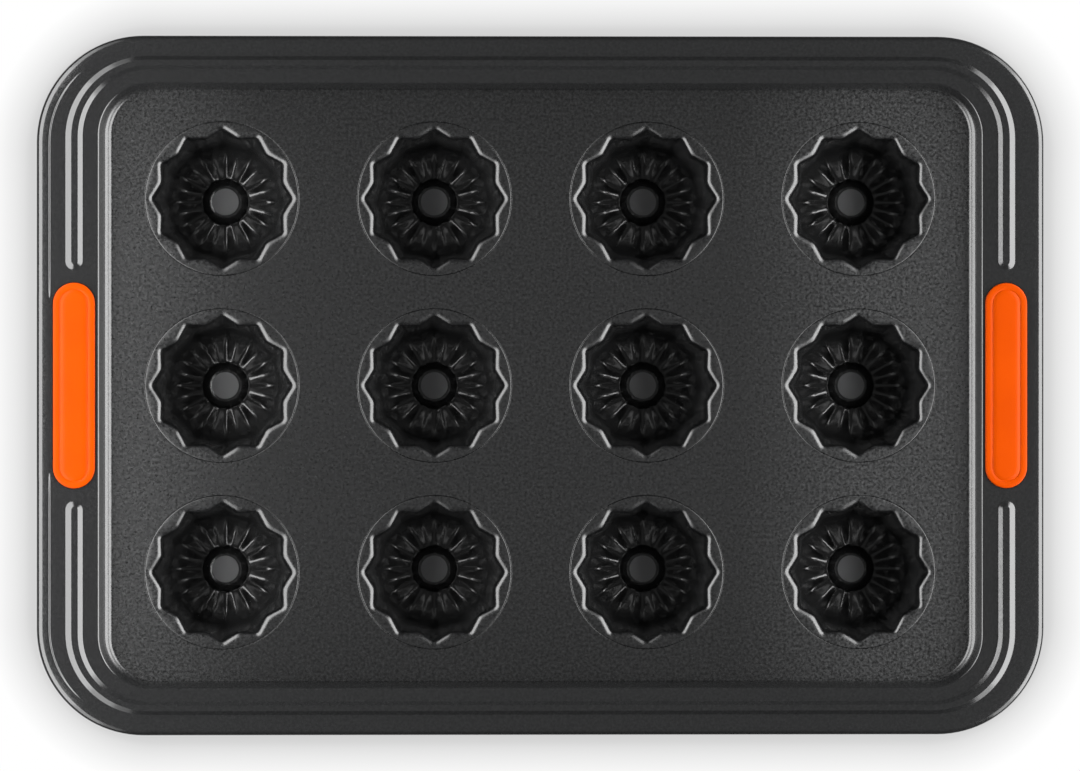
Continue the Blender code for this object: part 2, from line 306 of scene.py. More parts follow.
# The deck's holes, each with a rounded edge and a collar turned down
cup_names = sorted(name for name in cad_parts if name.startswith("cup_row"))
cup_places = {}
for name in cup_names:
    low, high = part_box(name)
    cup_places[name] = ((low.x + high.x) / 2, (low.y + high.y) / 2)


def on_circle(radius, height):
    """A test for a place on this circle round the middle of a hole or a cup."""
    return lambda place: max(abs(math.hypot(place.x, place.y) - radius), abs(place.z - height)) < TOUCHING


holes = []
for x, y in cup_places.values():
    wide = HOLE_RADIUS + HOLE_EDGE + HOLE_BORDER
    bpy.ops.mesh.primitive_circle_add(vertices=HOLE_SEGMENTS, radius=wide, location=(x, y, DECK_TOP))
    hole = bpy.context.object
    bpy.ops.object.mode_set(mode="EDIT")
    bpy.ops.mesh.select_all(action="SELECT")
    for drop in (0, COLLAR):
        bpy.ops.mesh.extrude_edges_indiv()
        narrowed = HOLE_RADIUS / wide
        bpy.ops.transform.resize(value=(narrowed, narrowed, 1), center_override=(x, y, DECK_TOP))
        bpy.ops.transform.translate(value=(0, 0, -drop))
        wide = HOLE_RADIUS
    pick_where(on_circle(HOLE_RADIUS, 0))
    bpy.ops.mesh.bevel(offset=HOLE_EDGE, segments=HOLE_EDGE_SEGMENTS, affect="EDGES")
    bpy.ops.object.mode_set(mode="OBJECT")
    holes.append(hole)
take_up(tray)
for hole in holes:
    hole.select_set(True)
bpy.ops.object.join()
bpy.ops.object.transform_apply(location=True, rotation=True, scale=True)

# The deck is filled in between its own edge and the holes
bpy.ops.object.mode_set(mode="EDIT")
bpy.ops.mesh.select_mode(type="EDGE")
bpy.ops.mesh.select_all(action="DESELECT")
for edge in sheet_in_edit().edges:
    if edge.is_boundary and all(abs(end.co.z - DECK_TOP) < TOUCHING for end in edge.verts):
        edge.select_set(True)
bmesh.update_edit_mesh(tray.data)
bpy.ops.mesh.fill(use_beauty=True)
bpy.ops.mesh.select_mode(type="VERT")
bpy.ops.mesh.select_all(action="SELECT")
bpy.ops.mesh.normals_make_consistent(inside=False)
bpy.ops.object.mode_set(mode="OBJECT")
deck_faces = [face for face in tray.data.polygons if abs(face.center.z - DECK_TOP) < TOUCHING]
if sum(face.normal.z * face.area for face in deck_faces) < 0:
    tray.data.flip_normals()


def give_sheet_thickness(piece, thickness):
    """Thickens a finished upper skin downwards and outwards, as the sheet's own gauge."""
    take_up(piece)
    gauge = piece.modifiers.new("gauge", "SOLIDIFY")
    gauge.thickness = thickness
    gauge.offset = -1
    bpy.ops.object.modifier_apply(modifier=gauge.name)


give_sheet_thickness(tray, SHEET)

# Each grip sits in a shallow seat pressed into the flange, over a slot that its web fills
GRIP_HALF_WIDTH = 0.0083
GRIP_HALF_LENGTH = 0.0408
GRIP_SEGMENTS = 12
GRIP_SHIFT = 0.0001
SEAT_MARGIN = 0.0003
SEAT_DEPTH = 0.0005
SLOT_DEPTH = 0.003
CUTTER_RISE = 0.002
WEB_INSET = 0.0030
FIT = 0.0003
grip_x = {}
for name in ("grip_left", "grip_right"):
    low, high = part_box(name)
    grip_x[name] = (low.x + high.x) / 2 - GRIP_SHIFT


def add_obround_block(half_x, half_y, x, bottom, top):
    """A round-ended block, for cutting the seat and the slot."""
    outline = RoundedOutline(half_x, half_y, half_x, bottom, GRIP_SEGMENTS)
    outline.draw_to(half_x, half_y, half_x, top)
    pick(outline.ring)
    bpy.ops.mesh.edge_face_add()
    pick_where(lambda place: abs(place.z - bottom) < TOUCHING)
    bpy.ops.mesh.edge_face_add()
    bpy.ops.mesh.select_all(action="SELECT")
    bpy.ops.mesh.normals_make_consistent(inside=False)
    bpy.ops.transform.translate(value=(x, 0, 0))
    bpy.ops.object.mode_set(mode="OBJECT")
    return bpy.context.object


for x in grip_x.values():
    for margin, depth in ((SEAT_MARGIN, SEAT_DEPTH), (FIT - WEB_INSET, SLOT_DEPTH)):
        half_x, half_y = GRIP_HALF_WIDTH + margin, GRIP_HALF_LENGTH + margin
        block = add_obround_block(half_x, half_y, x, FLANGE_TOP - depth, FLANGE_TOP + CUTTER_RISE)
        take_up(tray)
        cut = tray.modifiers.new("cut", "BOOLEAN")
        cut.operation = "DIFFERENCE"
        cut.object = block
        bpy.ops.object.modifier_apply(modifier=cut.name)
        bpy.data.objects.remove(block)


def smooth_by_angle(piece, degrees):
    take_up(piece)
    bpy.ops.object.shade_smooth_by_angle(angle=math.radians(degrees))


smooth_by_angle(tray, TRAY_CREASE)


class Value:
    """A socket in a tree of nodes, so that shader maths reads as plain sums."""

    def __init__(self, nodes, socket):
        self.nodes = nodes
        self.socket = socket

    def math(self, operation, *others):
        return self.nodes.node("ShaderNodeMath", {"operation": operation}, [self, *others])

    def __add__(self, other):
        return self.math("ADD", other)

    __radd__ = __add__

    def __mul__(self, other):
        return self.math("MULTIPLY", other)

    __rmul__ = __mul__

    def __sub__(self, other):
        return self.math("SUBTRACT", other)

    def __rsub__(self, other):
        return self * -1 + other


class Nodes:
    """The nodes of a material or of the room, with one method that adds any node."""

    def __init__(self, tree):
        self.tree = tree

    def node(self, kind, settings, inputs, output=0):
        made = self.tree.nodes.new(kind)
        for name, setting in settings.items():
            if name == "stops":
                ramp = made.color_ramp
                while len(ramp.elements) < len(setting):
                    ramp.elements.new(0.5)
                for element, (position, colour) in zip(ramp.elements, setting):
                    element.position = position
                    element.color = colour
            else:
                setattr(made, name, setting)
        pairs = inputs.items() if isinstance(inputs, dict) else enumerate(inputs)
        for key, value in pairs:
            self.feed(made.inputs[key], value)
        return Value(self, made.outputs[output])

    def feed(self, socket, value):
        if isinstance(value, Value):
            self.tree.links.new(value.socket, socket)
        else:
            socket.default_value = value

    def spread(self, value, low, high, out_low=0.0, out_high=1.0):
        """Maps a value from one range to another and holds it at the ends."""
        return self.node("ShaderNodeMapRange", {}, [value, low, high, out_low, out_high])


# The Mix node's sockets for its two colours and for what comes out of it
MIX_FIRST, MIX_SECOND, MIX_RESULT = 6, 7, 2


class Finish(Nodes):
    """A material with its main shader, and patterns that follow the place on the pan."""

    def __init__(self, name):
        self.material = bpy.data.materials.new(name)
        self.material.use_nodes = True
        super().__init__(self.material.node_tree)
        self.shader = self.tree.nodes["Principled BSDF"]
        self.place = self.node("ShaderNodeTexCoord", {}, [], "Object")

    def set(self, name, value):
        """Feeds a value or a link to one of the shader's own sockets."""
        self.feed(self.shader.inputs[name], value)

    def axes(self):
        """Where a point is along the pan, across it and above the ground."""
        return [self.node("ShaderNodeSeparateXYZ", {}, [self.place], axis) for axis in range(3)]

    def noise(self, scale, detail=2.0, roughness=0.5):
        inputs = {"Vector": self.place, "Scale": scale, "Detail": detail, "Roughness": roughness}
        return self.node("ShaderNodeTexNoise", {}, inputs)

    def mix(self, share, first, second):
        """Blends two colours, each of them a link or three numbers."""
        first, second = ((*colour, 1) if isinstance(colour, tuple) else colour for colour in (first, second))
        inputs = {0: share, MIX_FIRST: first, MIX_SECOND: second}
        return self.node("ShaderNodeMix", {"data_type": "RGBA"}, inputs, MIX_RESULT)

    def bump(self, height, distance):
        return self.node("ShaderNodeBump", {}, {"Height": height, "Distance": distance, "Strength": 1.0})


# The coating's colours, by where they are on the pan. Some are painted light and shade: paler grains towards
# the deck's ends, paler cup walls, darker cup floors and pale boss tops.
COATING_GROUND = (0.004, 0.0041, 0.0043)
COATING_GRAINS = (0.024, 0.0244, 0.025)
COATING_GRAINS_PAINTED_LIGHT = (0.070, 0.071, 0.072)
COATING_CUP_WALL_PAINTED_LIGHT = (0.035, 0.0355, 0.036)
COATING_FLUTES_PAINTED_SHADE = (0.005, 0.0051, 0.0053)
COATING_BOSS_TOP_PAINTED_LIGHT = (0.26, 0.262, 0.266)

# Pairs of places between which one look of the coating passes into the next
DECK_FADE = (DECK_TOP - 0.0015, DECK_TOP - 0.0005)
RIM_FADE = (0.0465, 0.0485)
CUP_FADE = (DECK_TOP - 0.004, DECK_TOP - 0.012)
FLOOR_FADE = (0.010, 0.004)
FLUTE_FADE = (0.0024, 0.0012)
PAINTED_LIGHT_MIDDLE_X = -0.012
LEFT_PAINTED_LIGHT_FADE = (0.10, 0.16)
RIGHT_PAINTED_LIGHT_FADE = (0.09, 0.14)
DECK_EDGE_FADE = (0.05, 0.11)

# The grains, and how much of their tone shows on the deck and on the rim
GRAIN_SCALE = 900
GRAIN_DETAIL = 2
GRAIN_NOISE_ROUGHNESS = 0.6
GRAIN_BAND = (0.36, 0.68)
GRAIN_SHARE_DECK = 0.7
GRAIN_SHARE_ALL = 0.3
GRAIN_SHARE_RIM = 0.5
END_GRAIN_SHARE_RIM = 0.1

# The gloss, which is lower on the deck, on the tops of the bosses and on the cups' floors
COATING_IOR = 2.0
DECK_ROUGHNESS = 0.295
DECK_EDGE_GLOSS = 0.03
BOSS_ROUGH_SHARE = 1.7
FLOOR_ROUGH_SHARE = 0.5
GLOSS_SCALE = 1100
GLOSS_RANGE = 0.20
RELIEF_SCALE = 1000
RELIEF_SHARE_ROUGH = 0.8
RELIEF_SHARE_ALL = 0.2
WARP_SCALE = 16

TRAY_RELIEF = 0.00005
TRAY_WARP = 0.0005
TRAY_ROUGHNESS = 0.165


def nonstick_coating(name, relief, warp, smooth_roughness):
    """Sprayed and baked coating, a half-gloss dark grey: speckled, and rougher where the steel is flat, with
    painted light and shade in its colour.
    """
    finish = Finish(name)
    along, across, height = finish.axes()
    on_rim = finish.spread(height, *RIM_FADE)
    on_deck = finish.spread(height, *DECK_FADE) * (1 - on_rim)
    on_boss = finish.node("ShaderNodeAttribute", {"attribute_name": "boss_top"}, [], "Fac")
    # Painted light: the pale grains are painted paler towards the deck's left and right ends, near the
    # softboxes, and the whole rim takes a tenth of that paler tone
    from_middle = along - PAINTED_LIGHT_MIDDLE_X
    painted_light_at_end = finish.spread(from_middle * -1, *LEFT_PAINTED_LIGHT_FADE) + finish.spread(from_middle, *RIGHT_PAINTED_LIGHT_FADE)
    speckle = finish.spread(finish.noise(GRAIN_SCALE, GRAIN_DETAIL, GRAIN_NOISE_ROUGHNESS), *GRAIN_BAND)
    speckle = speckle * (on_deck * GRAIN_SHARE_DECK + GRAIN_SHARE_ALL) + on_rim * GRAIN_SHARE_RIM
    end_share = painted_light_at_end * on_deck + on_rim * END_GRAIN_SHARE_RIM
    grains = finish.mix(speckle, COATING_GROUND, finish.mix(end_share, COATING_GRAINS, COATING_GRAINS_PAINTED_LIGHT))
    # Painted light and shade inside the cups: their walls are painted paler, and their fluted floors darker,
    # than the coating elsewhere
    inside = finish.mix(finish.spread(height, *FLUTE_FADE), COATING_CUP_WALL_PAINTED_LIGHT, COATING_FLUTES_PAINTED_SHADE)
    colour = finish.mix(finish.spread(height, *CUP_FADE), grains, inside)
    # Painted light: the tops of the bosses are painted a pale grey
    finish.set("Base Color", finish.mix(on_boss, colour, COATING_BOSS_TOP_PAINTED_LIGHT))
    near_edge = finish.spread(across.math("ABSOLUTE"), *DECK_EDGE_FADE)
    deck_roughness = DECK_ROUGHNESS - near_edge * on_deck * DECK_EDGE_GLOSS
    on_floor = finish.spread(height, *FLOOR_FADE)
    rough = on_deck + on_boss * BOSS_ROUGH_SHARE + on_floor * FLOOR_ROUGH_SHARE
    roughness = rough * (deck_roughness - smooth_roughness) + smooth_roughness
    finish.set("Roughness", roughness + (finish.noise(GLOSS_SCALE) - 0.5) * GLOSS_RANGE)
    grit = finish.noise(RELIEF_SCALE) * (rough * RELIEF_SHARE_ROUGH + RELIEF_SHARE_ALL) * relief
    finish.set("Normal", finish.bump(grit + finish.noise(WARP_SCALE, 1) * warp, 1.0))
    finish.set("IOR", COATING_IOR)
    return finish.material


def finish_with(piece, material, slot, *nodes):
    """Gives a finished piece its one material and puts it on the pan in place of its CAD nodes."""
    piece.data.materials.clear()
    piece.data.materials.append(material)
    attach(piece, "root")
    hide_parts(*nodes)


tray_coating = nonstick_coating("nonstick_coating", TRAY_RELIEF, TRAY_WARP, TRAY_ROUGHNESS)
finish_with(tray, tray_coating, "nonstick_coating", "tray_sheet")


# The wire is bare drawn steel, bent to a loop that the tray's edge is rolled round. It only shows
# where the curl's free edge leaves it open, under the rim.
WIRE_DARK = (0.30, 0.30, 0.31)
WIRE_BRIGHT = (0.46, 0.46, 0.47)
WIRE_ROUGHNESS = 0.32
SCRATCH_SCALE = 1400
SCRATCH_DETAIL = 4
SCRATCH_NOISE_ROUGHNESS = 0.7
SCRATCH_BAND = (0.3, 0.7)
SCRATCH_ROUGHNESS = 0.15
SCRATCH_DEPTH = 0.00001

drawn_wire = Finish("drawn_wire")
scratches = drawn_wire.noise(SCRATCH_SCALE, SCRATCH_DETAIL, SCRATCH_NOISE_ROUGHNESS)
scratches = drawn_wire.spread(scratches, *SCRATCH_BAND)
drawn_wire.set("Base Color", drawn_wire.mix(scratches, WIRE_DARK, WIRE_BRIGHT))
drawn_wire.set("Roughness", scratches * SCRATCH_ROUGHNESS + WIRE_ROUGHNESS)
drawn_wire.set("Normal", drawn_wire.bump(scratches, SCRATCH_DEPTH))
drawn_wire.set("Metallic", 1.0)
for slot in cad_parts["rim_wire"].material_slots:
    slot.material = drawn_wire.material


# Twelve cups, each drawn from thin steel with twelve lobes, a floor fluted to match and a round boss
# in its middle. A soft shoulder leads into a flat flange, whose edge folds down and hooks under the
# deck's collar.
CUP_SHEET = 0.0005
CUP_DEPTH = 0.045
CUP_CREASE = 35
LOBES = 12
POINTS_PER_LOBE = 24
ARC_STEPS = 12
WALL_STEPS = 6

# The wall, at the tips of the lobes and in the creases between them, from its shoulder to its foot
LOBE_SHOULDER = 0.0302
CREASE_SHOULDER = 0.0277
LOBE_SHOULDER_RADIUS = 0.0031
CREASE_SHOULDER_RADIUS = 0.0034
LOBE_SLOPE = 83.4
CREASE_SLOPE = 85.9
LOBE_FOOT = 0.0157
LOBE_FOOT_RADIUS = 0.0070
CREASE_FOOT = 0.0140
CREASE_FOOT_RADIUS = 0.0089
CREASE_FOOT_SLOPE = 6
CREASE_FOOT_RISE = 0.00165

# How much of each lobe's straight side is rounded off at its tip and in the crease
SHOULDER_EASE = 0.22
WALL_EASE = 0.1
FLOOR_EASE = 0.26

# The boss, from the foot of its side to its slightly domed top
BOSS_FOOT = 0.0100
BOSS_FOOT_RADIUS = 0.0012
BOSS_CREASE_RISE = 0.0005
BOSS_SLOPE = 55
BOSS_TOP = 0.0048
BOSS_DOME_RADIUS = 0.0050
BOSS_DOME_SLOPE = 16
BOSS_EDGE_RADIUS = 0.0008
BOSS_HEIGHT = 0.004
BOSS_PAINTED_LIGHT_EDGE = 0.0006
FLUTE_STEPS = 8
BOSS_STEPS = 6
BOSS_EDGE_STEPS = 5

# The flange round the mouth, and the hook that its edge is folded into
CUP_FLANGE = 0.03055
HOOK_FLOOR = 0.0029
HOOK_RADIUS = 0.03184
HOOK_HEIGHT = 0.0014
FOLD = 0.0003
FOLD_SEGMENTS = 3
HOOK_FOLD_SEGMENTS = 2


def shape_ring(ring, lobe, crease, ease):
    """Moves a ring onto its outline: one radius and height at the lobes, another at the creases."""
    half_lobe = math.pi / LOBES
    for vertex in ring:
        turn = math.atan2(vertex.co.y, vertex.co.x)
        share = eased(abs((turn / half_lobe + 1) % 2 - 1), ease)
        radius = lobe[0]
        if lobe[0] != crease[0]:
            to_lobe, to_crease = math.sin(half_lobe * (1 - share)), math.sin(half_lobe * share)
            radius = lobe[0] * crease[0] * math.sin(half_lobe) / (lobe[0] * to_crease + crease[0] * to_lobe)
        height = lobe[1] + (crease[1] - lobe[1]) * share
        vertex.co = (radius * math.cos(turn), radius * math.sin(turn), height)
    bmesh.update_edit_mesh(bpy.context.object.data)


def draw_ring(ring, lobe, crease, ease=0.5):
    """Extrudes a ring of the cup and shapes the new one."""
    pick(ring)
    bpy.ops.mesh.extrude_edges_indiv()
    made = picked()
    shape_ring(made, lobe, crease, ease)
    return made


def shoulder_and_wall():
    """Radii and heights at the lobes and at the creases, and how round the lobes are, down to the floor."""
    lobe_shoulder = arc(LOBE_SHOULDER_RADIUS, 0, LOBE_SLOPE, ARC_STEPS)
    crease_shoulder = arc(CREASE_SHOULDER_RADIUS, 0, CREASE_SLOPE, ARC_STEPS)
    shoulder = zip(lobe_shoulder, crease_shoulder)
    for step, ((run, drop), (crease_run, crease_drop)) in enumerate(shoulder, start=1):
        ease = SHOULDER_EASE + (WALL_EASE - SHOULDER_EASE) * step / ARC_STEPS
        wall_top = (LOBE_SHOULDER - run, -drop), (CREASE_SHOULDER - crease_run, -crease_drop)
        yield *wall_top, ease
    foot = []
    lobe_foot = [(0, 0), *arc(LOBE_FOOT_RADIUS, 0, LOBE_SLOPE, ARC_STEPS)]
    crease_foot = [(0, 0), *arc(CREASE_FOOT_RADIUS, CREASE_FOOT_SLOPE, CREASE_SLOPE, ARC_STEPS)]
    for (run, rise), (crease_run, crease_rise) in zip(lobe_foot, crease_foot):
        lobe = LOBE_FOOT + run, rise - CUP_DEPTH
        crease = CREASE_FOOT + crease_run, crease_rise + CREASE_FOOT_RISE - CUP_DEPTH
        foot.append((lobe, crease))
    for step in range(1, WALL_STEPS):
        share = step / WALL_STEPS
        lobe, crease = (Vector(top).lerp(Vector(low), share) for top, low in zip(wall_top, foot[-1]))
        yield tuple(lobe), tuple(crease), WALL_EASE
    for step, (lobe, crease) in enumerate(reversed(foot)):
        yield lobe, crease, WALL_EASE + (FLOOR_EASE - WALL_EASE) * step / ARC_STEPS


def floor_and_boss():
    """The same for the fluted floor and the boss's side, where the flutes run out, up to its domed top."""
    for step in range(1, FLUTE_STEPS + 1):
        share = step / FLUTE_STEPS
        lobe = LOBE_FOOT + (BOSS_FOOT - LOBE_FOOT) * share
        crease = CREASE_FOOT + (BOSS_FOOT - CREASE_FOOT) * share
        rise = CREASE_FOOT_RISE + (BOSS_CREASE_RISE - CREASE_FOOT_RISE) * share
        yield (lobe, -CUP_DEPTH), (crease, rise - CUP_DEPTH), FLOOR_EASE
    side = [(BOSS_FOOT - run, rise) for run, rise in arc(BOSS_FOOT_RADIUS, 0, BOSS_SLOPE, BOSS_STEPS)]
    dome = [(0, 0), *arc(BOSS_DOME_RADIUS, 0, BOSS_DOME_SLOPE, BOSS_STEPS)]
    dome_run, dome_drop = dome[-1]
    for run, drop in arc(BOSS_EDGE_RADIUS, BOSS_DOME_SLOPE, BOSS_SLOPE, BOSS_EDGE_STEPS):
        dome.append((dome_run + run, dome_drop + drop))
    crown = [(BOSS_TOP + run, BOSS_HEIGHT - drop) for run, drop in reversed(dome)]
    side.append(tuple(Vector(side[-1]).lerp(Vector(crown[0]), 0.5)))
    for radius, height in side + crown:
        flute = BOSS_CREASE_RISE * (max(radius - BOSS_TOP, 0) / (BOSS_FOOT - BOSS_TOP)) ** 2
        yield (radius, height - CUP_DEPTH), (radius, height + flute - CUP_DEPTH), FLOOR_EASE


bpy.ops.mesh.primitive_circle_add(vertices=LOBES * POINTS_PER_LOBE, radius=LOBE_SHOULDER, location=(0, 0, 0))
cup = bpy.context.object
bpy.ops.object.mode_set(mode="EDIT")
# Held here, because the vertices in the rings are lost with it
skin = sheet_in_edit()
bpy.ops.mesh.select_mode(type="VERT")
bpy.ops.mesh.select_all(action="SELECT")
mouth = picked()
shape_ring(mouth, (LOBE_SHOULDER, 0), (CREASE_SHOULDER, 0), SHOULDER_EASE)
ring = mouth
for lobe, crease, ease in [*shoulder_and_wall(), *floor_and_boss()]:
    ring = draw_ring(ring, lobe, crease, ease)
pick(ring)
bpy.ops.mesh.edge_face_add()
ring = mouth
hook_end = (HOOK_RADIUS, HOOK_HEIGHT - HOOK_FLOOR)
for turned in ((CUP_FLANGE, 0), (CUP_FLANGE, -HOOK_FLOOR), (HOOK_RADIUS, -HOOK_FLOOR), hook_end):
    ring = draw_ring(ring, turned, turned)


def round_loop(test, width, segments):
    """Bevels the loop of edges whose both ends pass the test."""
    bpy.ops.mesh.select_mode(type="EDGE")
    bpy.ops.mesh.select_all(action="DESELECT")
    for edge in sheet_in_edit().edges:
        edge.select_set(all(test(end.co) for end in edge.verts))
    bmesh.update_edit_mesh(bpy.context.object.data)
    bpy.ops.mesh.bevel(offset=width, segments=segments, affect="EDGES")
    bpy.ops.mesh.select_mode(type="VERT")


round_loop(on_circle(CUP_FLANGE, 0), FOLD, FOLD_SEGMENTS)
round_loop(on_circle(HOOK_RADIUS, -HOOK_FLOOR), FOLD, HOOK_FOLD_SEGMENTS)
bpy.ops.mesh.select_all(action="SELECT")
bpy.ops.mesh.normals_make_consistent(inside=False)
bpy.ops.object.mode_set(mode="OBJECT")
boss_face = max(cup.data.polygons, key=lambda face: face.area)
if boss_face.normal.z < 0:
    cup.data.flip_normals()
give_sheet_thickness(cup, CUP_SHEET)
smooth_by_angle(cup, CUP_CREASE)

# The top of the boss is marked, so that its coating is painted pale there, as painted light, and given a
# rougher gloss
boss_top = cup.data.attributes.new("boss_top", "FLOAT", "POINT")
for vertex, mark in zip(cup.data.vertices, boss_top.data):
    inside = math.hypot(vertex.co.x, vertex.co.y) < BOSS_TOP + BOSS_PAINTED_LIGHT_EDGE
    mark.value = float(inside and vertex.co.z > BOSS_HEIGHT - CUP_SHEET / 2 - CUP_DEPTH)

CUP_RELIEF = 0.00001
CUP_ROUGHNESS = 0.16
cup_coating = nonstick_coating("cup_coating", CUP_RELIEF, 0.0, CUP_ROUGHNESS)
for name, (x, y) in cup_places.items():
    drawn = bpy.data.objects.new(name.replace("cup", "fluted_cup"), cup.data.copy())
    bpy.context.scene.collection.objects.link(drawn)
    drawn.data.transform(Matrix.Translation((x, y, DECK_TOP)))
    finish_with(drawn, cup_coating, "nonstick_coating", name)
bpy.data.objects.remove(cup)


# Two grips of orange silicone, moulded through slots in the side flanges, with a pad on each face.
# The upper pad has a rounded border, a groove like a racetrack and a raised panel inside it.
PAD_TOP = 0.0013
PAD_EDGE = 0.0006
PAD_EDGE_STEPS = 6
BORDER_DOME = 0.00015
GROOVE_INSET = 0.0024
GROOVE_WIDTH = 0.0008
GROOVE_DEPTH = 0.0002
GROOVE_LIP = 0.00008
GROOVE_STEPS = 8
PANEL_RISE = 0.0003
GRIP_CREASE = 40

# Insets of the lower pad and the web, with their drops below the flange
LOWER_PAD = ((0.0004, 0.0012), (0.0001, 0.0009), (0, 0.0008), (0, 0), (WEB_INSET, 0))

# Insets of the web and the upper pad's lower edge, with their heights above the flange
UPPER_PAD = ((WEB_INSET, -0.0002), (0.0003, -0.0002), (0, 0.0001))

# Insets of the upper pad's border, with their heights above its top
BORDER = ((0.0018, 0), (0.0020, -0.00004))

# Insets from the groove, with the share of the panel's rise there
PANEL_EDGE = ((0.0005, 0.5), (0.0010, 0.8), (0.0018, 0.95), (0.0030, 1))

SILICONE = (0.72, 0.078, 0.0003)
SILICONE_DEEP = (0.69, 0.072, 0.0003)
SILICONE_ROUGHNESS = (0.31, 0.37)
SILICONE_IOR = 1.43
SILICONE_SHINE = 0.12
CLOUD_SCALE = 60
CLOUD_DETAIL = 3
CLOUD_BAND = (0.35, 0.65)
HAZE_SCALE = 700
HAZE_BAND = (0.3, 0.7)
PORE_SCALE = 1500
PORE_DEPTH = 0.00001


def grip_rings():
    """Insets from the pad's outline, and heights above the flange, from the lower face to the panel."""
    rings = [(inset, -SHEET - FIT - drop) for inset, drop in LOWER_PAD]
    rings += UPPER_PAD
    for step in range(PAD_EDGE_STEPS + 1):
        angle = math.radians(90 * step / PAD_EDGE_STEPS)
        height = PAD_TOP - BORDER_DOME - PAD_EDGE * (1 - math.sin(angle))
        rings.append((PAD_EDGE * (1 - math.cos(angle)), height))
    rings += [(inset, PAD_TOP + rise) for inset, rise in BORDER]
    for step in range(GROOVE_STEPS + 1):
        share = step / GROOVE_STEPS
        sink = GROOVE_DEPTH * (1 - math.cos(2 * math.pi * share)) / 2
        rings.append((GROOVE_INSET + GROOVE_WIDTH * share, PAD_TOP - GROOVE_LIP - sink))
    for inset, share in PANEL_EDGE:
        rings.append((GROOVE_INSET + GROOVE_WIDTH + inset, PAD_TOP + PANEL_RISE * share))
    return rings


silicone = Finish("orange_silicone")
cloud = silicone.spread(silicone.noise(CLOUD_SCALE, CLOUD_DETAIL), *CLOUD_BAND)
silicone.set("Base Color", silicone.mix(cloud, SILICONE, SILICONE_DEEP))
silicone.set("Roughness", silicone.spread(silicone.noise(HAZE_SCALE), *HAZE_BAND, *SILICONE_ROUGHNESS))
silicone.set("Normal", silicone.bump(silicone.noise(PORE_SCALE), PORE_DEPTH))
silicone.set("IOR", SILICONE_IOR)
silicone.set("Specular IOR Level", SILICONE_SHINE)
for name, x in grip_x.items():
    (inset, height), *upper_rings = grip_rings()
    half_width, half_length = GRIP_HALF_WIDTH - inset, GRIP_HALF_LENGTH - inset
    outline = RoundedOutline(half_width, half_length, half_width, FLANGE_TOP + height, GRIP_SEGMENTS)
    grip = bpy.context.object
    grip.name = name.replace("grip", "silicone_grip")
    pick(outline.ring)
    bpy.ops.mesh.edge_face_add()
    for inset, height in upper_rings:
        half_width = GRIP_HALF_WIDTH - inset
        outline.draw_to(half_width, GRIP_HALF_LENGTH - inset, half_width, FLANGE_TOP + height)
    pick(outline.ring)
    bpy.ops.mesh.edge_face_add()
    bpy.ops.mesh.select_all(action="SELECT")
    bpy.ops.mesh.normals_make_consistent(inside=False)
    bpy.ops.transform.translate(value=(x, 0, 0))
    bpy.ops.object.mode_set(mode="OBJECT")
    bpy.ops.object.transform_apply(location=True, rotation=True, scale=True)
    smooth_by_angle(grip, GRIP_CREASE)
    finish_with(grip, silicone.material, "orange_silicone", name)


# A sheet of white paper lies under the pan, and is shaded darker towards it. Camera and reflections
# see that shade as it is painted, with the contact shade under the pan, and other light the plain paper.
PAPER_HALF_X = 0.245
PAPER_HALF_Y = 0.183
PAPER_COLOUR = (0.9, 0.9, 0.9, 1)
PAPER_ROUGHNESS = 0.9
PAINTED_SHARE = 0.985
SHADE_CORNER = 0.045
SHADE_SHIFT_X = 0.0011
SHADE_NARROW_Y = 0.0014
SHADE_REACH = 0.04
CONTACT_REACH = 0.03
CONTACT_SAMPLES = 8

# Greys of the paper by their distance from the pan's edge, in shares of the shade's reach
SHADE_GREYS = (
    (0, 0.60),
    (0.115, 0.64),
    (0.152, 0.655),
    (0.185, 0.675),
    (0.243, 0.753),
    (0.335, 0.831),
    (0.487, 0.93),
    (0.62, 1),
)

bpy.ops.mesh.primitive_plane_add(size=2, location=(0, 0, 0))
sheet_of_paper = bpy.context.object
sheet_of_paper.name = "sheet_of_paper"
bpy.ops.transform.resize(value=(PAPER_HALF_X, PAPER_HALF_Y, 1))
bpy.ops.object.transform_apply(location=True, rotation=True, scale=True)
paper = Finish("white_paper")
paper.set("Base Color", PAPER_COLOUR)
paper.set("Roughness", PAPER_ROUGHNESS)
paper.set("Specular IOR Level", 0.0)
along, across = paper.axes()[:2]
beyond_x = (along - SHADE_SHIFT_X).math("ABSOLUTE") - (TRAY_HALF_X - SHADE_CORNER)
beyond_y = across.math("ABSOLUTE") - (TRAY_HALF_Y - SHADE_CORNER - SHADE_NARROW_Y)
beyond_x, beyond_y = beyond_x.math("MAXIMUM", 0.0), beyond_y.math("MAXIMUM", 0.0)
away = (beyond_x * beyond_x + beyond_y * beyond_y).math("SQRT") - SHADE_CORNER
stops = [(place, (grey, grey, grey, 1)) for place, grey in SHADE_GREYS]
shade = paper.node("ShaderNodeValToRGB", {"stops": stops}, [away * (1 / SHADE_REACH)])
contact = {"Color": shade, "Distance": CONTACT_REACH}
shade = paper.node("ShaderNodeAmbientOcclusion", {"samples": CONTACT_SAMPLES}, contact)
painted = paper.node("ShaderNodeEmission", {}, {"Color": shade})
seen = paper.node("ShaderNodeLightPath", {}, [], "Is Camera Ray")
for kind in ("Is Glossy Ray", "Is Transmission Ray"):
    seen = seen + paper.node("ShaderNodeLightPath", {}, [], kind)
plain = Value(paper, paper.shader.outputs[0])
both = paper.node("ShaderNodeMixShader", {}, [seen * PAINTED_SHARE, plain, painted])
paper.feed(paper.tree.nodes["Material Output"].inputs["Surface"], both)
sheet_of_paper.data.materials.append(paper.material)


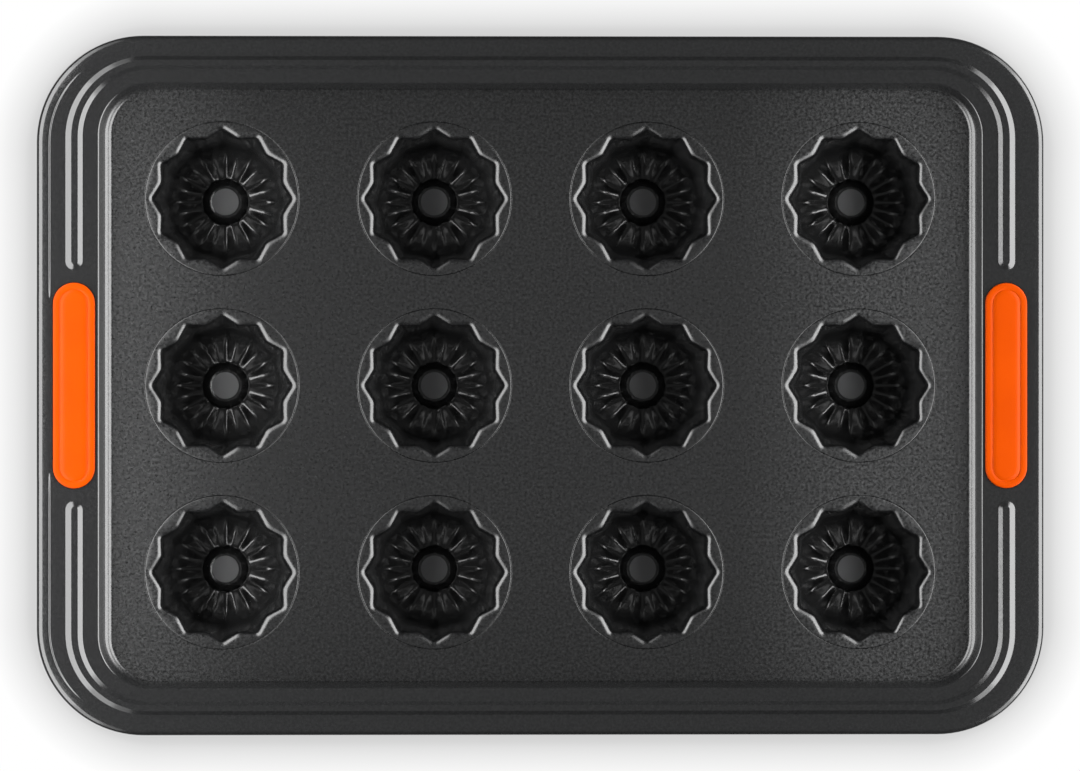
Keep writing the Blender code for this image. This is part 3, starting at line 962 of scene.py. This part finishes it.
# The table under the paper is dark and matt. It only shows as the dark line round the pan's edge, and
# beyond the paper in the other views.
TABLE_SIZE = 6
TABLE_DROP = 0.001
TABLE_COLOUR = (0.06, 0.06, 0.06, 1)
TABLE_ROUGHNESS = 0.9
bpy.ops.mesh.primitive_plane_add(size=TABLE_SIZE, location=(0, 0, -TABLE_DROP))
table = bpy.context.object
table.name = "table"
dark_table = Finish("dark_table")
dark_table.set("Base Color", TABLE_COLOUR)
dark_table.set("Roughness", TABLE_ROUGHNESS)
dark_table.set("Specular IOR Level", 0.0)
table.data.materials.append(dark_table.material)


# A tall softbox stands close to the pan's left, brighter in its middle, and a larger one further off to
# its right, in a dim room. A row gives the place in x, the width, the lower and upper edge and the power.
SOFTBOXES = {
    "softbox_left": (-0.2842, 1.16, 0.076, 0.40, 0.87),
    "softbox_left_inner": (-0.2841, 0.70, 0.076, 0.40, 1.04),
    "softbox_left_middle": (-0.284, 0.44, 0.076, 0.40, 0.80),
    "softbox_right": (0.5501, 1.30, 0.0455, 0.80, 6.5),
    "softbox_right_middle": (0.55, 0.85, 0.0455, 0.80, 5.0),
}
ROOM_HEIGHTS = (0.1, 0.9)
ROOM_LIGHT = (0.015, 0.085)
for name, (x, width, bottom, top, power) in SOFTBOXES.items():
    box = bpy.data.lights.new(name, "AREA")
    box.shape = "RECTANGLE"
    box.size = width
    box.size_y = top - bottom
    box.energy = power
    stand = bpy.data.objects.new(name, box)
    stand.location = (x, 0, (bottom + top) / 2)
    stand.rotation_euler = (math.radians(90), 0, math.copysign(math.radians(90), x))
    stand.visible_camera = False
    bpy.context.scene.collection.objects.link(stand)
room = bpy.data.worlds.new("room")
room.use_nodes = True
walls = Nodes(room.node_tree)
direction = walls.node("ShaderNodeTexCoord", {}, [], "Generated")
upward = walls.node("ShaderNodeSeparateXYZ", {}, [direction], 2)
background = walls.tree.nodes["Background"]
walls.feed(background.inputs["Strength"], walls.spread(upward, *ROOM_HEIGHTS, *ROOM_LIGHT))
walls.feed(background.inputs["Color"], (1, 1, 1, 1))
bpy.context.scene.world = room


# The camera looks almost straight down from over the second column of cups, at the pan's middle.
# Its lens takes in FRAME_WIDTH in the plane of the flange.
CAMERA_HEIGHT = 2.2
CAMERA_X = -0.048
AIM_X = -0.00047
FRAME_WIDTH = 0.4289
SENSOR_WIDTH = 36
FAR_LIMIT = 20
lens = bpy.data.cameras.new("camera")
camera = bpy.data.objects.new("camera", lens)
bpy.context.scene.collection.objects.link(camera)
camera.location = (CAMERA_X, 0, FLANGE_TOP + CAMERA_HEIGHT)
camera.rotation_euler = (0, math.atan((CAMERA_X - AIM_X) / CAMERA_HEIGHT), 0)
lens.sensor_width = SENSOR_WIDTH
lens.lens = SENSOR_WIDTH * math.hypot(CAMERA_X, CAMERA_HEIGHT) / FRAME_WIDTH
lens.clip_end = FAR_LIMIT
bpy.context.scene.camera = camera
bpy.context.scene.view_settings.view_transform = "Standard"
